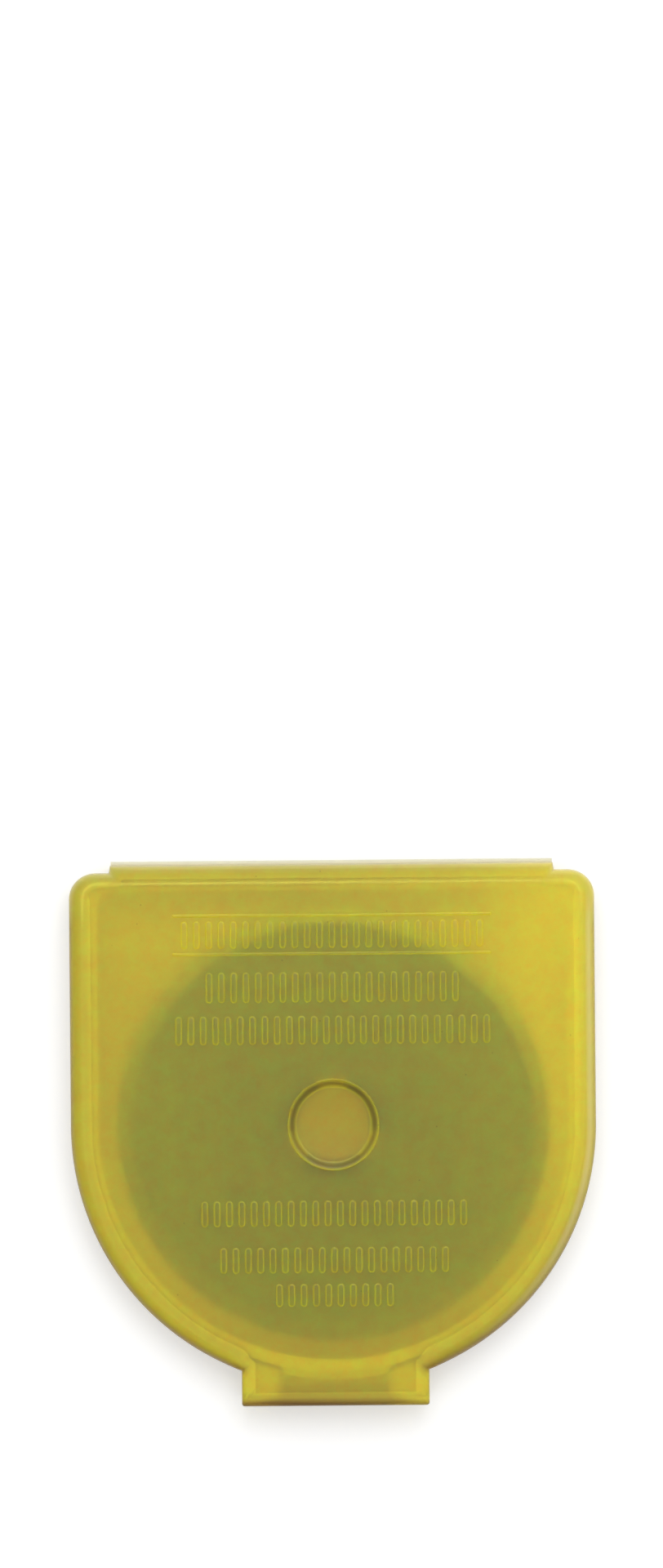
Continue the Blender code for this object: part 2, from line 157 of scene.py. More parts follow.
# The blade: flat, ground bevel and honed edge by radius, and its lobed hole.
BLADE_RADIUS = BLADE_HIGH[0]
BLADE_MIDDLE = (BLADE_LOW[2] + BLADE_HIGH[2]) / 2
BLADE_HALF = (BLADE_HIGH[2] - BLADE_LOW[2]) / 2
BEVEL_WIDTH = 1.6
HONED_WIDTH = 0.25
HONED_HALF = 0.045
BEVEL_START = BLADE_RADIUS - BEVEL_WIDTH
HONED_START = BLADE_RADIUS - HONED_WIDTH
HOLE_RADIUS = 4.0
LOBE_DEPTH = 0.9
LOBE_HALF_ANGLE = 21.0
LOBE_BLEND_ANGLE = 2.2
LOBE_ANGLES = (90.0, 210.0, 330.0)

# The raised rows on the lid: plain upright ribs, and a line above and below the topmost row.
ROWS = (
    # middle of the row, half height, half length
    (19.8, 1.45, 16.6),
    (14.3, 1.6, 13.7),
    (9.85, 1.5, 16.9),
    (-9.2, 1.35, 14.2),
    (-14.05, 1.35, 12.4),
    (-17.7, 1.2, 6.6),
)
RIB_WIDTH = 0.74
RIB_PITCH = 1.28
RIB_HEIGHT = 0.1
RIB_SLOPE = 0.16
LINE_GAP = 0.55
LINE_WIDTH = 0.34

# Numbers of a half's materials: its smooth skin, its raised forms, and its outer edge.
SMOOTH = 0
RAISED = 1
RIM = 2

# Tints of the plastic, as linear colours: its two ambers, the pale one of the hinge, the pale of the
# edge, a painted highlight, the brown of much plastic looked through and of painted shade, and the
# grey of the painted shade and its clouds.
DEEP_AMBER = (0.975, 0.79, 0.03, 1.0)
PALE_AMBER = (0.905, 0.935, 0.04, 1.0)
PALE_HINGE = (0.97, 0.95, 0.78, 1.0)
PALE_RIM = (0.97, 0.9, 0.66, 1.0)
BROWN = (0.22, 0.115, 0.004, 1.0)
PAINTED_SHADE_AND_CLOUDS = (0.45, 0.43, 0.4, 1.0)

# Shares of the painted shade, of its clouds and of the specks' brown, and of brown on the smaller
# forms: deeper plastic, and painted shade on the cavity floor and in the dimple.
REAR_SHADE = 0.35
FRONT_SHADE = 0.08
SIDE_SHADE = 0.32
CLOUD_SHARE = 0.07
SPECK_SHARE = 0.35
FLOOR_PAINTED_SHADE = 0.38
POCKET_SHARE = 0.42
RING_SHARE = 0.35
BOSS_SHARE = 0.78
TONGUE_SHARE = 0.1
DIMPLE_SHARE = 0.03

# Steel, as sRGB colours: near the hole, at the bevel and on it, and the linear shade of its grain.
INNER_STEEL = (133, 140, 141)
OUTER_STEEL = (148, 158, 157)
BEVEL_STEEL = (172, 178, 178)
GRAIN_SHADE = (0.82, 0.82, 0.82, 1.0)

# Where along the outer edge its tints of painted shade and highlight change, as smoothsteps between
# two places along X, Y or a way in plan. The corner between front and left is along both, and the last
# is for the painted shade beside the gap at the lip.
REAR_CHANGE = (20.5, 26.0)
FRONT_CHANGE = (4.0, 26.0)
RIGHT_WAY = (0.94, 0.34)
RIGHT_CHANGE = (2.0, 22.0)
LEFT_CHANGE = (16.0, 24.0)
TAB_CHANGE = (25.2, 26.2)
CORNER_CHANGE = (2.0, 12.0)
GAP_REAR_CHANGE = (20.0, 24.0)

# How finely loops are divided: points in each stretch of half a plan loop, and round a full circle.
# An edge between faces that turn by more than the last angle, in degrees, stays sharp.
STRETCHES = {
    "tab front": 10,
    "tab corner": 5,
    "tab side": 6,
    "front": 76,
    "side": 8,
    "corner": 14,
    "shoulder": 4,
    "hinge end": 3,
    "hinge": 12,
}
CIRCLE_POINTS = 120
ROUND_STEPS = 8
BLADE_POINTS = 720
RIB_POINTS = 6
SHARP_ANGLE = 38.0


def linear(red, green, blue):
    """An sRGB colour, 0 to 255, as the linear RGBA that a shader takes."""
    levels = np.array([red, green, blue]) / 255.0
    low = levels / 12.92
    high = ((levels + 0.055) / 1.055) ** 2.4
    return (*np.where(levels <= 0.04045, low, high), 1.0)


def line(start, end, count):
    """Points a + (b - a) k / count for k from 0 to count - 1, so the end is left to the next stretch."""
    share = np.arange(count)[:, None] / count
    return np.array(start) + share * (np.array(end) - np.array(start))


def arc(center, radius, start, end, count):
    """Points c + r (cos a, sin a) for angles a from start up to end in degrees, without the end."""
    angles = np.radians(start + (end - start) * np.arange(count) / count)
    return np.array(center) + radius * np.column_stack([np.cos(angles), np.sin(angles)])


def plan_loop(radius, rear, corner, inset=0.0, tab=None, hinged=False):
    """A closed loop in plan: a half circle in front, straight sides and a rear with round corners.

    inset moves it in by a distance: each radius and each line's place shrinks by it. tab is the half
    width and front of a tab or pocket, and hinged adds the step of the hinge. Every loop has as many
    points in each stretch as any other, so two loops join point by point.
    """
    n = STRETCHES
    inner = radius - inset
    if tab:
        half, front = tab[0] - inset, tab[1] - inset
        small = max(TAB_CORNER - inset, FINEST_ROUND)
        root = -math.sqrt(inner**2 - half**2)
        nose = [
            line((0.0, -front), (half - small, -front), n["tab front"]),
            arc((half - small, small - front), small, -90.0, 0.0, n["tab corner"]),
            line((half, small - front), (half, root), n["tab side"]),
            arc((0.0, 0.0), inner, math.degrees(math.atan2(root, half)), 0.0, n["front"]),
        ]
    else:
        turn = -math.degrees(math.acos(HALF_TAB / CASE_RADIUS))
        points = n["tab front"] + n["tab corner"] + n["tab side"]
        nose = [
            arc((0.0, 0.0), inner, -90.0, turn, points),
            arc((0.0, 0.0), inner, turn, 0.0, n["front"]),
        ]
    slope = np.array([HINGE_STEP, HINGE_SLANT]) / math.hypot(HINGE_STEP, HINGE_SLANT)
    reach = slope @ (HALF_HINGE, HINGE_REAR) - inset
    back = HINGE_REAR - inset if hinged else rear - inset
    foot_x = min(HALF_HINGE, radius - corner - HINGE_SLANT)
    top_x = foot_x - HINGE_SLANT
    if hinged:
        foot_x = (reach - slope[1] * (rear - inset)) / slope[0]
        top_x = (reach - slope[1] * back) / slope[0]
    tail = [
        line((inner, 0.0), (inner, rear - corner), n["side"]),
        arc((radius - corner, rear - corner), corner - inset, 0.0, 90.0, n["corner"]),
        line((radius - corner, rear - inset), (foot_x, rear - inset), n["shoulder"]),
        line((foot_x, rear - inset), (top_x, back), n["hinge end"]),
        line((top_x, back), (0.0, back), n["hinge"]),
    ]
    right = np.vstack([*nose, *tail])
    left = right[:0:-1] * (-1.0, 1.0)
    return np.vstack([right, [[0.0, back]], left])


def fine_share():
    """How far each point of a plan loop takes the finer edge round: 1 on tab and hinge, 0 elsewhere.

    It falls off along the front as a smoothstep of the way from the tab's root, and evenly round the
    shoulders.
    """
    n = STRETCHES
    way = np.radians(TAB_ROOT_ANGLE) * CASE_RADIUS * np.arange(n["front"]) / n["front"] / EDGE_BLEND
    near = np.clip(1.0 - way, 0.0, 1.0)
    half = np.concatenate(
        [
            np.ones(n["tab front"] + n["tab corner"] + n["tab side"]),
            near * near * (3.0 - 2.0 * near),
            np.zeros(n["side"]),
            0.8 * np.arange(n["corner"]) / n["corner"],
            0.8 + 0.2 * np.arange(n["shoulder"]) / n["shoulder"],
            np.ones(n["hinge end"] + n["hinge"]),
        ]
    )
    return np.concatenate([half, [1.0], half[:0:-1]])


def at(plan, height, brown=0.0, pale=0.0):
    """A plan loop lifted to one height, or to one for each of its points, with shares of two tints.

    The shares are the last two columns, from 0 to 1: brown, where much plastic is looked through and
    as painted shade, and pale, as a painted highlight.
    pale.
    """
    whole = np.ones(len(plan))
    return np.column_stack([plan, whole * height, whole * brown, whole * pale])


def smoothstep(values, start, end):
    """3 t^2 - 2 t^3 for t from 0 at the start to 1 at the end."""
    t = np.clip((values - start) / (end - start), 0.0, 1.0)
    return t * t * (3.0 - 2.0 * t)


def edge_tints_and_painted_light(plan, depth):
    """Shares of brown and pale at places in plan that lie so deep in from the wall, in millimetres.

    Brown stands for plastic seen end on and is partly painted shade: it falls off as e to the minus a
    power of the depth, and is deepest in front and on the left. On the tab it falls off with the square
    of the way from its front, as a painted shadow, and at the rear it lies a little in from the wall, as
    painted shade. Pale is a painted highlight at the very edge along the rear, and in a soft band inside
    it on the right.
    """
    x, y = plan.T
    rear = smoothstep(y, *REAR_CHANGE)
    front = smoothstep(-y, *FRONT_CHANGE)
    right = smoothstep(plan @ RIGHT_WAY, *RIGHT_CHANGE) * (1.0 - rear)
    left = smoothstep(-x, *LEFT_CHANGE)
    tab = smoothstep(-y, *TAB_CHANGE) * (abs(x) < HALF_TAB + 0.01)
    lower_left = smoothstep(-y, *CORNER_CHANGE) * smoothstep(-x, *CORNER_CHANGE)

    # Along the wall, brown of plastic seen end on and of painted shade: the fall from the edge, a faint
    # band of painted shade over the lip, and a clearer one on the right, where brown is taken away as
    # painted light.
    fall = 1.0 - 0.2 * front - 0.12 * right - 0.25 * lower_left
    dark = np.maximum(front, left * np.exp(-((depth / 0.25) ** 2)))
    along = (0.6 + 0.35 * dark + 0.08 * lower_left) * np.exp(-((depth / fall) ** (1.0 + front)))
    along *= 1.0 + 0.004 * x
    over_lip = np.maximum(smoothstep(-y, 0.0, 10.0), left * smoothstep(-y, -24.0, -10.0))
    along += (0.08 + 0.06 * lower_left) * over_lip * smoothstep(depth, 1.1, 1.8)
    right_painted_light = 0.09 * right * smoothstep(y, 0.0, 8.0) * smoothstep(depth, 0.8, 1.3)
    along -= np.minimum(along, right_painted_light)

    # On the tab: its front and its edge, as a painted shadow, and, least, the window over the pocket.
    nose = np.maximum(1.0 - ((y + LID_TAB_FRONT) / 1.15) ** 2, 0.6 * np.exp(-depth / 0.12))
    nose = np.maximum(nose, 0.17 * (abs(x) < HALF_POCKET))
    brown = along + tab * (nose * (1.0 - 0.02 * x) - along)

    # At the rear the brown is painted shade a little in from the wall, and the pale a painted highlight.
    brown += rear * ((0.36 - 0.17 * depth) * smoothstep(depth, 0.15, 0.6) - brown)
    rear_edge = np.exp(-((depth / 0.3) ** 1.3))
    right_band = np.exp(-(((depth - 0.62) / 0.28) ** 2))
    return brown, 0.75 * right * right_band + rear * rear_edge


def gap_painted_shade(plan, rear=0.0):
    """Brown share beside the gap at the lip: the given one at the rear, and its own in front and left."""
    # This brown is painted shade beside the gap at the lip.
    x, y = plan.T
    front = smoothstep(-y, 2.0, 14.0) * smoothstep(abs(x), 6.0, 12.0)
    left = smoothstep(-x, 18.0, 24.0)
    return np.max([rear * smoothstep(y, *GAP_REAR_CHANGE), 0.45 * front, 0.3 * left], axis=0)


def wall(plan, height, depth, share=1.0):
    """A loop on a wall or its rounded edge, with the outer edge's tints at a depth, times a share."""
    brown, pale = edge_tints_and_painted_light(plan, depth)
    return at(plan, height, brown * share, pale * share)


def circle(radius, height, brown=0.0):
    """A loop of points about the blade's axis."""
    return at(arc((0.0, 0.0), radius, 0.0, 360.0, CIRCLE_POINTS), height, brown)


def pill(center, half_width, half_height, inset=0.0):
    """A loop of two half circles, of the half width less the inset, and straight sides between them."""
    small = half_width - inset
    rise = half_height - half_width
    x, y = center
    return np.vstack(
        [
            arc((x, y + rise), small, 0.0, 180.0, RIB_POINTS),
            [[x - small, y + rise]],
            arc((x, y - rise), small, 180.0, 360.0, RIB_POINTS),
            [[x + small, y - rise]],
        ]
    )


def box_loop(center, half_width, half_depth, corner, inset=0.0):
    """A rectangle in plan with rounded corners, moved in by the inset."""
    small = max(corner - inset, FINEST_ROUND)
    across, deep = half_width - inset - small, half_depth - inset - small
    x, y = center
    corners = [(1, -1, -90.0), (1, 1, 0.0), (-1, 1, 90.0), (-1, -1, 180.0)]
    return np.vstack(
        [
            arc((x + a * across, y + b * deep), small, start, start + 90.0, 4)
            for a, b, start in corners
        ]
    )


def pocket_loop(inset):
    """The pocket's outline: the skirt's arc, and straight sides to its front."""
    radius = SKIRT_RADIUS + inset
    half, front = HALF_POCKET - inset, POCKET_FRONT - inset
    turn = math.degrees(math.asin(half / radius))
    return np.vstack(
        [
            line((-half, -front), (half, -front), 12),
            line((half, -front), (half, -math.sqrt(radius**2 - half**2)), 3),
            arc((0.0, 0.0), radius, -90.0 + turn, -90.0 - turn, 12),
            line((-half, -math.sqrt(radius**2 - half**2)), (-half, -front), 3),
        ]
    )


class Skin:
    """A closed skin put together from loops of points: x, y, z in millimetres, and the tint shares."""

    def __init__(self):
        self.points = np.zeros((0, 5))
        self.faces = []
        self.kinds = []

    def add(self, faces, kind=SMOOTH):
        """Adds an array of faces, all of one material by its number."""
        self.faces += faces.tolist()
        self.kinds += [kind] * len(faces)

    def loop(self, points):
        """Adds a loop of points and returns their numbers."""
        first = len(self.points)
        self.points = np.vstack([self.points, points])
        return np.arange(first, len(self.points))

    def bands(self, rows, kind=SMOOTH, start=None):
        """Four-sided faces between each loop of points and the next. Returns the first and last loop.

        start is a loop to begin from that is already in the skin.
        """
        loops = [] if start is None else [start]
        loops += [self.loop(row) for row in rows]
        for a, b in zip(loops, loops[1:], strict=False):
            self.add(np.stack([a, np.roll(a, -1), np.roll(b, -1), b], axis=1), kind)
        return loops[0], loops[-1]

    def cap(self, loop, kind=SMOOTH):
        """Triangles from a loop to a point at its middle."""
        middle = self.loop(self.points[loop].mean(axis=0)[None])[0]
        self.add(np.stack([loop, np.roll(loop, -1), np.full_like(loop, middle)], axis=1), kind)

    def plate(self, rim, *holes):
        """A flat face between a rim and any holes in it, by a Delaunay triangulation of their points.

        A triangle is kept if a line from its middle along X crosses the loops an odd number of times.
        """
        loops = [rim, *holes]
        numbers = np.concatenate(loops)
        places = self.points[numbers, :2]
        starts = np.cumsum([0, *map(len, loops)])
        edges = np.vstack(
            [
                start + np.stack([np.arange(len(loop)), np.roll(np.arange(len(loop)), -1)], axis=1)
                for start, loop in zip(starts, loops, strict=False)
            ]
        )
        whole_hull, same_place = 0, 1e-6
        found = delaunay_2d_cdt(
            [Vector(p) for p in places], edges.tolist(), [], whole_hull, same_place
        )
        origin = np.array([sources[0] for sources in found[3]])
        triangles = origin[np.array(found[2])]
        x, y = places[triangles].mean(axis=1).T[:, :, None]
        (x0, y0), (x1, y1) = places[edges[:, 0]].T, places[edges[:, 1]].T
        rise = np.where(y1 == y0, 1.0, y1 - y0)
        beyond = x0 + (y - y0) * (x1 - x0) / rise > x
        crossings = (((y0 > y) != (y1 > y)) & beyond).sum(axis=1)
        self.add(numbers[triangles[crossings % 2 == 1]])

    def build(self, name, *materials):
        """The skin as an object at the origin, with its faces pointing out and smooth rounded edges."""
        mesh = bpy.data.meshes.new(name)
        mesh.from_pydata((self.points[:, :3] * MM).tolist(), [], self.faces)
        mesh.polygons.foreach_set("material_index", self.kinds)
        for tint, shares in zip(("brown", "pale"), self.points[:, 3:].T, strict=True):
            mesh.attributes.new(tint, "FLOAT", "POINT").data.foreach_set("value", shares)
        shape = bmesh.new()
        shape.from_mesh(mesh)
        bmesh.ops.recalc_face_normals(shape, faces=shape.faces)
        shape.to_mesh(mesh)
        shape.free()
        mesh.shade_smooth()
        mesh.set_sharp_from_angle(angle=math.radians(SHARP_ANGLE))
        for material in materials:
            mesh.materials.append(material)
        obj = bpy.data.objects.new(name, mesh)
        bpy.context.scene.collection.objects.link(obj)
        normals = obj.modifiers.new("flat faces", "WEIGHTED_NORMAL")
        normals.keep_sharp = True
        return obj


def quarter(count=ROUND_STEPS):
    """(1 - sin a, 1 - cos a) for a from 0 to 90 degrees: a quarter round by its inset and drop."""
    angles = np.radians(np.linspace(0.0, 90.0, count + 1))
    return list(zip(1.0 - np.sin(angles), 1.0 - np.cos(angles), strict=True))


def outer_edge(front, coarse, height, upward):
    """Loops round a half's outer edge: three on its flat face, where its tints fade in, and the round.

    At each point the round's radius is the coarse one, the fine one or between them, by fine_share.
    """
    share = fine_share()
    size = coarse + share * (FINE_EDGE_ROUND - coarse)
    steps = [(1.0, beyond, 0.0) for beyond in (FADE_START, 0.9, 0.4)]
    steps += [(inset, 0.0, drop) for inset, drop in quarter()]
    rows = []
    for inset, beyond, drop in steps:
        wide, fine = (
            plan_loop(
                CASE_RADIUS,
                CASE_REAR,
                SHOULDER_RADIUS,
                inset * radius + beyond,
                (HALF_TAB, front),
                True,
            )
            for radius in (coarse, FINE_EDGE_ROUND)
        )
        plan = wide + share[:, None] * (fine - wide)
        level = height + drop * size * (1.0 if upward else -1.0)
        rows.append(wall(plan, level, inset * size + beyond, float(beyond < FADE_START)))
    return rows


def rib_rows(half_width, half_height):
    """Loops up a rib's side: a quarter of an ellipse, as wide as the slope and as high as the rib."""
    slope = min(RIB_SLOPE, half_width * 0.8)
    return [
        at(
            pill((0.0, 0.0), half_width, half_height, slope * (1.0 - math.cos(a))),
            LID_TOP + RIB_HEIGHT * math.sin(a),
        )
        for a in np.radians((0.0, 30.0, 60.0, 90.0))
    ]


def relief():
    """Where the raised forms on the lid lie: (middle, half width, half height, lies along X)."""
    forms = []
    for middle, half_height, half_length in ROWS:
        count = int(2 * half_length / RIB_PITCH)
        places = (np.arange(count) - (count - 1) / 2) * RIB_PITCH
        forms += [((x, middle), RIB_WIDTH / 2, half_height, False) for x in places]
    middle, half_height, half_length = ROWS[0]
    for side in (-1, 1):
        y = middle + side * (half_height + LINE_GAP)
        forms.append(((0.0, y), LINE_WIDTH / 2, half_length, True))
    return forms


def add_dimple(skin):
    """Adds the bead and the dimple in it, browner to the rear. Returns the bead's outer loop.

    The bead is half an ellipse in section, and the dimple's side falls as half a cosine. The brown on
    the bead's rear half and on the dimple's side is painted shade.
    """
    up = circle(1.0, 0.0)[:, 1].clip(0.0)
    half_bead = BEAD_WIDTH / 2
    bead = [
        circle(
            BEAD_RADIUS + half_bead * math.cos(a),
            LID_TOP + BEAD_HEIGHT * math.sin(a),
            0.25 * up * (a > 0.0),
        )
        for a in np.radians(np.linspace(0.0, 180.0, 9))
    ]
    lip_in = BEAD_RADIUS - half_bead
    ways = np.linspace(0.0, 1.0, 8)[1:].clip(0.0, 0.999)
    falls = (1.0 - np.cos(np.radians(np.linspace(0.0, 180.0, 8)[1:]))) / 2.0
    dimple = [
        circle(
            lip_in + way * (DIMPLE_FLOOR_RADIUS - lip_in),
            LID_TOP - DIMPLE_DEPTH * fall,
            0.08 + (0.6 + 0.1 * up) * math.sin(math.pi * way**0.7),
        )
        for way, fall in zip(ways, falls, strict=True)
    ]
    bead_foot, bead_end = skin.bands(bead, RAISED)
    skin.cap(skin.bands(dimple, RAISED, bead_end)[1])
    skin.points[-1, 3] = DIMPLE_SHARE
    return bead_foot


def add_relief(skin):
    """Adds the raised forms on the lid, each with a flat crest. Returns their feet."""
    feet = []
    for center, half_width, half_height, lies in relief():
        loops = rib_rows(half_width, half_height)
        for loop in loops:
            if lies:
                loop[:, :2] = loop[:, 1::-1] * (-1.0, 1.0)
            loop[:, :2] += center
        foot, crest = skin.bands(loops, RAISED)
        skin.cap(crest)
        feet.append(foot)
    return feet


def ring_loops():
    """Loops of the ring under the roof, from its foot outside down, across and up inside it."""
    small = RING_CHAMFER
    sides = [
        (RING_RADIUS, ROOF_BOTTOM - small),
        (RING_RADIUS, RING_BOTTOM + small),
        (RING_RADIUS - small, RING_BOTTOM),
        (RING_BORE + small, RING_BOTTOM),
        (RING_BORE, RING_BOTTOM + small),
        (RING_BORE, ROOF_BOTTOM - small),
    ]
    outer, inner = circle(RING_RADIUS + small, ROOF_BOTTOM), circle(RING_BORE - small, ROOF_BOTTOM)
    return [outer, *(circle(*side, RING_SHARE) for side in sides), inner]


def make_lid(*materials):
    """The cover: roof with relief, bead and dimple, rounded edge, skirt, pocket, and the ring inside."""
    skin = Skin()
    tab = (HALF_TAB, LID_TAB_FRONT)
    rows = outer_edge(LID_TAB_FRONT, LID_EDGE_ROUND, LID_TOP, upward=False)
    pocket = (HALF_POCKET, POCKET_FRONT)

    def inner(inset):
        return plan_loop(SKIRT_RADIUS, SKIRT_REAR, INNER_CORNER, inset, pocket)

    in_pocket = inner(0.0)[:, 1] < -POCKET_FRONT + 0.001
    for inset, drop in quarter(3)[::-1]:
        plan = plan_loop(CASE_RADIUS, CASE_REAR, SHOULDER_RADIUS, inset * RIM_ROUND, tab, True)
        row = wall(plan, LID_BOTTOM + drop * RIM_ROUND, 0.0, drop)
        row[:, 3] = np.maximum(row[:, 3], in_pocket)
        row[:, 4] = 0.0
        rows.append(row)
    # Inside the skirt: brown over the pocket, and painted shade beside the gap at the lip.
    tint = np.maximum(in_pocket, gap_painted_shade(inner(0.0)))
    for inset, drop in quarter(3):
        rows.append(at(inner(-inset * RIM_ROUND), LID_BOTTOM + drop * RIM_ROUND, tint))
    for rise, depth in ((-1, 0.0), (0, GROOVE_DEPTH), (1, 0.0)):
        plan = inner(0.0)
        plan[in_pocket, 1] -= depth
        rows.append(at(plan, CATCH_MIDDLE + rise * GROOVE_HALF_HEIGHT, tint))
    for inset, drop in quarter(4)[::-1]:
        level = ROOF_BOTTOM - drop * INSIDE_ROUND
        rows.append(at(inner(inset * INSIDE_ROUND), level, (POCKET_SHARE + 0.4 * drop) * in_pocket))
    edge = len(quarter()) + 3
    roof_rim, fade = skin.bands(rows[:2])
    wall_top = skin.bands(rows[2:edge], RIM, fade)[1]
    under_rim = skin.bands(rows[edge:], start=wall_top)[1]

    bead_foot = add_dimple(skin)
    feet = add_relief(skin)
    skin.plate(roof_rim, bead_foot, *feet)

    ring_foot, ring_inside = skin.bands(ring_loops())
    skin.cap(ring_inside)
    ceiling = [at(pocket_loop(0.42), ROOF_BOTTOM), at(pocket_loop(0.48), ROOF_BOTTOM, POCKET_SHARE)]
    outer_window, window = skin.bands(ceiling)
    skin.plate(under_rim, ring_foot, outer_window)
    skin.plate(window)
    return skin.build("lid_shell", *materials)


def boss_loops():
    """Loops up the seat's side, in to the boss and up to its rounded top."""
    rounds = quarter(4)[::-1]
    return [
        circle(SEAT_RADIUS + SEAT_CHAMFER, FLOOR_TOP, FLOOR_PAINTED_SHADE),
        circle(SEAT_RADIUS, FLOOR_TOP + SEAT_CHAMFER),
        *(circle(SEAT_RADIUS - i * INSIDE_ROUND, SEAT_TOP - d * INSIDE_ROUND) for i, d in rounds),
        circle(BOSS_RADIUS + SEAT_CHAMFER, SEAT_TOP),
        circle(BOSS_RADIUS, SEAT_TOP + SEAT_CHAMFER),
        *(
            circle(BOSS_RADIUS - i * BOSS_CHAMFER, BOSS_TOP - d * BOSS_CHAMFER, BOSS_SHARE)
            for i, d in rounds
        ),
    ]


def make_base(*materials):
    """The tray: flat underside, wall, lip, tongue with its catch, floor, seat and boss."""
    skin = Skin()
    rows = outer_edge(BASE_TAB_FRONT, BASE_EDGE_ROUND, 0.0, upward=True)
    tab = (HALF_TAB, BASE_TAB_FRONT)
    for inset, drop in quarter(3)[::-1]:
        plan = plan_loop(CASE_RADIUS, CASE_REAR, SHOULDER_RADIUS, inset * RIM_ROUND, tab, True)
        rows.append(wall(plan, BASE_TOP - drop * RIM_ROUND, 0.0, drop))
    underside, rim = skin.bands(rows)
    skin.plate(underside)

    def lip(inset):
        return plan_loop(LIP_RADIUS, LIP_REAR, INNER_CORNER, inset)

    def cavity(inset):
        return plan_loop(CAVITY_RADIUS, CAVITY_RADIUS, INNER_CORNER, inset)

    # Pale on the lip's right and on the cavity's left edge is a painted highlight, and brown at the lip's
    # foot and beside its gap is painted shade.
    along = lip(0.0)
    right = 0.6 * smoothstep(along @ RIGHT_WAY, *RIGHT_CHANGE)
    rows = [at(along, BASE_TOP, 0.1 * smoothstep(along[:, 1], *GAP_REAR_CHANGE))]
    for i, d in quarter(4)[::-1]:
        brown = gap_painted_shade(along, 0.9 - 0.6 * i)
        rows.append(at(lip(i * LIP_ROUND), LIP_TOP - d * LIP_ROUND, brown, right))
    x, y = cavity(0.0).T / CAVITY_RADIUS
    left = 0.5 * smoothstep(-x, 0.9, 1.0)
    rows += [at(cavity(-i * RIM_ROUND), LIP_TOP - d * RIM_ROUND, 0.0, left) for i, d in quarter(3)]
    lip_foot, lip_inside = skin.bands(rows, RAISED)
    # Brown on the cavity floor is painted shade about the blade, deeper in front and on the left.
    ahead, behind = (-y).clip(0.0, 1.0), y.clip(0.0, 1.0)
    brown = FLOOR_PAINTED_SHADE * (1.0 - 0.5 * behind**3 + 0.8 * ahead**4)
    brown *= 1.0 + 0.3 * (-x).clip(0.0, 1.0) * (1.0 - ahead)
    rows = [
        at(cavity(i * INSIDE_ROUND), FLOOR_TOP + d * INSIDE_ROUND, brown)
        for i, d in quarter(4)[::-1]
    ]
    floor_rim = skin.bands(rows, start=lip_inside)[1]

    middle = (0.0, -TONGUE_FRONT + TONGUE_THICKNESS / 2)
    depth = TONGUE_THICKNESS / 2

    def tongue(inset, height, ridge=0.0):
        plan = box_loop(middle, HALF_TONGUE, depth, LIP_ROUND, inset)
        plan[plan[:, 1] < middle[1] - depth + FINEST_ROUND, 1] -= ridge
        return at(plan, height, TONGUE_SHARE)

    rows = [tongue(0.0, BASE_TOP)]
    rows += [
        tongue(0.0, CATCH_MIDDLE + rise * CATCH_HALF_HEIGHT, ridge)
        for rise, ridge in ((-1, 0.0), (0, CATCH_DEPTH), (1, 0.0))
    ]
    rows += [tongue(i * TONGUE_ROUND, TONGUE_TOP - d * TONGUE_ROUND) for i, d in quarter(3)[::-1][1:]]
    tongue_foot, tongue_top = skin.bands(rows)
    skin.plate(tongue_top)
    around = at(pocket_loop(0.0), BASE_TOP)
    outer_window, window = skin.bands([around, at(pocket_loop(0.06), BASE_TOP, TONGUE_SHARE)])
    skin.plate(rim, lip_foot, outer_window)
    skin.plate(window, tongue_foot)

    seat_foot, boss_top = skin.bands(boss_loops())
    skin.cap(boss_top)
    skin.plate(floor_rim, seat_foot)
    return skin.build("base_tray", *materials)


def make_hinge_strip(material):
    """The strip of the living hinge: a flat U in section, with its ends rooted in both rear faces."""
    thickness = WEB_THICKNESS
    bend = (WEB_HIGH[2] - WEB_LOW[2] - thickness) / 2
    middle = (WEB_HIGH[2] + WEB_LOW[2]) / 2
    root = HINGE_REAR - ROOT_DEPTH
    bend_y = WEB_HIGH[1] - thickness / 2 - bend
    outer = arc((bend_y, middle), bend + thickness / 2, -90.0, 90.0, 14)
    inner = arc((bend_y, middle), bend - thickness / 2, 90.0, -90.0, 14)
    section = np.vstack(
        [
            line((root, middle - bend - thickness / 2), outer[0], 3),
            outer,
            line((bend_y, middle + bend + thickness / 2), (root, middle + bend + thickness / 2), 3),
            line((root, middle + bend + thickness / 2), (root, middle + bend - thickness / 2), 2),
            line((root, middle + bend - thickness / 2), inner[0], 3),
            inner,
            line((bend_y, middle - bend + thickness / 2), (root, middle - bend + thickness / 2), 3),
            line((root, middle - bend + thickness / 2), (root, middle - bend - thickness / 2), 2),
        ]
    )
    skin = Skin()
    pale = 1.0 - smoothstep(section[:, 0], root, WEB_HIGH[1])
    rows = [
        np.column_stack([np.full(len(section), x), section, np.zeros(len(section)), pale])
        for x in np.linspace(-HALF_WEB, HALF_WEB, 25)
    ]
    first, last = skin.bands(rows)
    skin.add(np.stack([first, last]))
    return skin.build("hinge_strip", material), middle, bend


def hole_radius(angles):
    """The hole's radius at each angle: the bore, and out by the lobes' depth near each lobe's middle."""
    away = np.min(
        [np.abs((angles - middle + 180.0) % 360.0 - 180.0) for middle in LOBE_ANGLES], axis=0
    )
    share = np.clip((LOBE_HALF_ANGLE - away) / LOBE_BLEND_ANGLE + 0.5, 0.0, 1.0)
    return HOLE_RADIUS + LOBE_DEPTH * share * share * (3.0 - 2.0 * share)


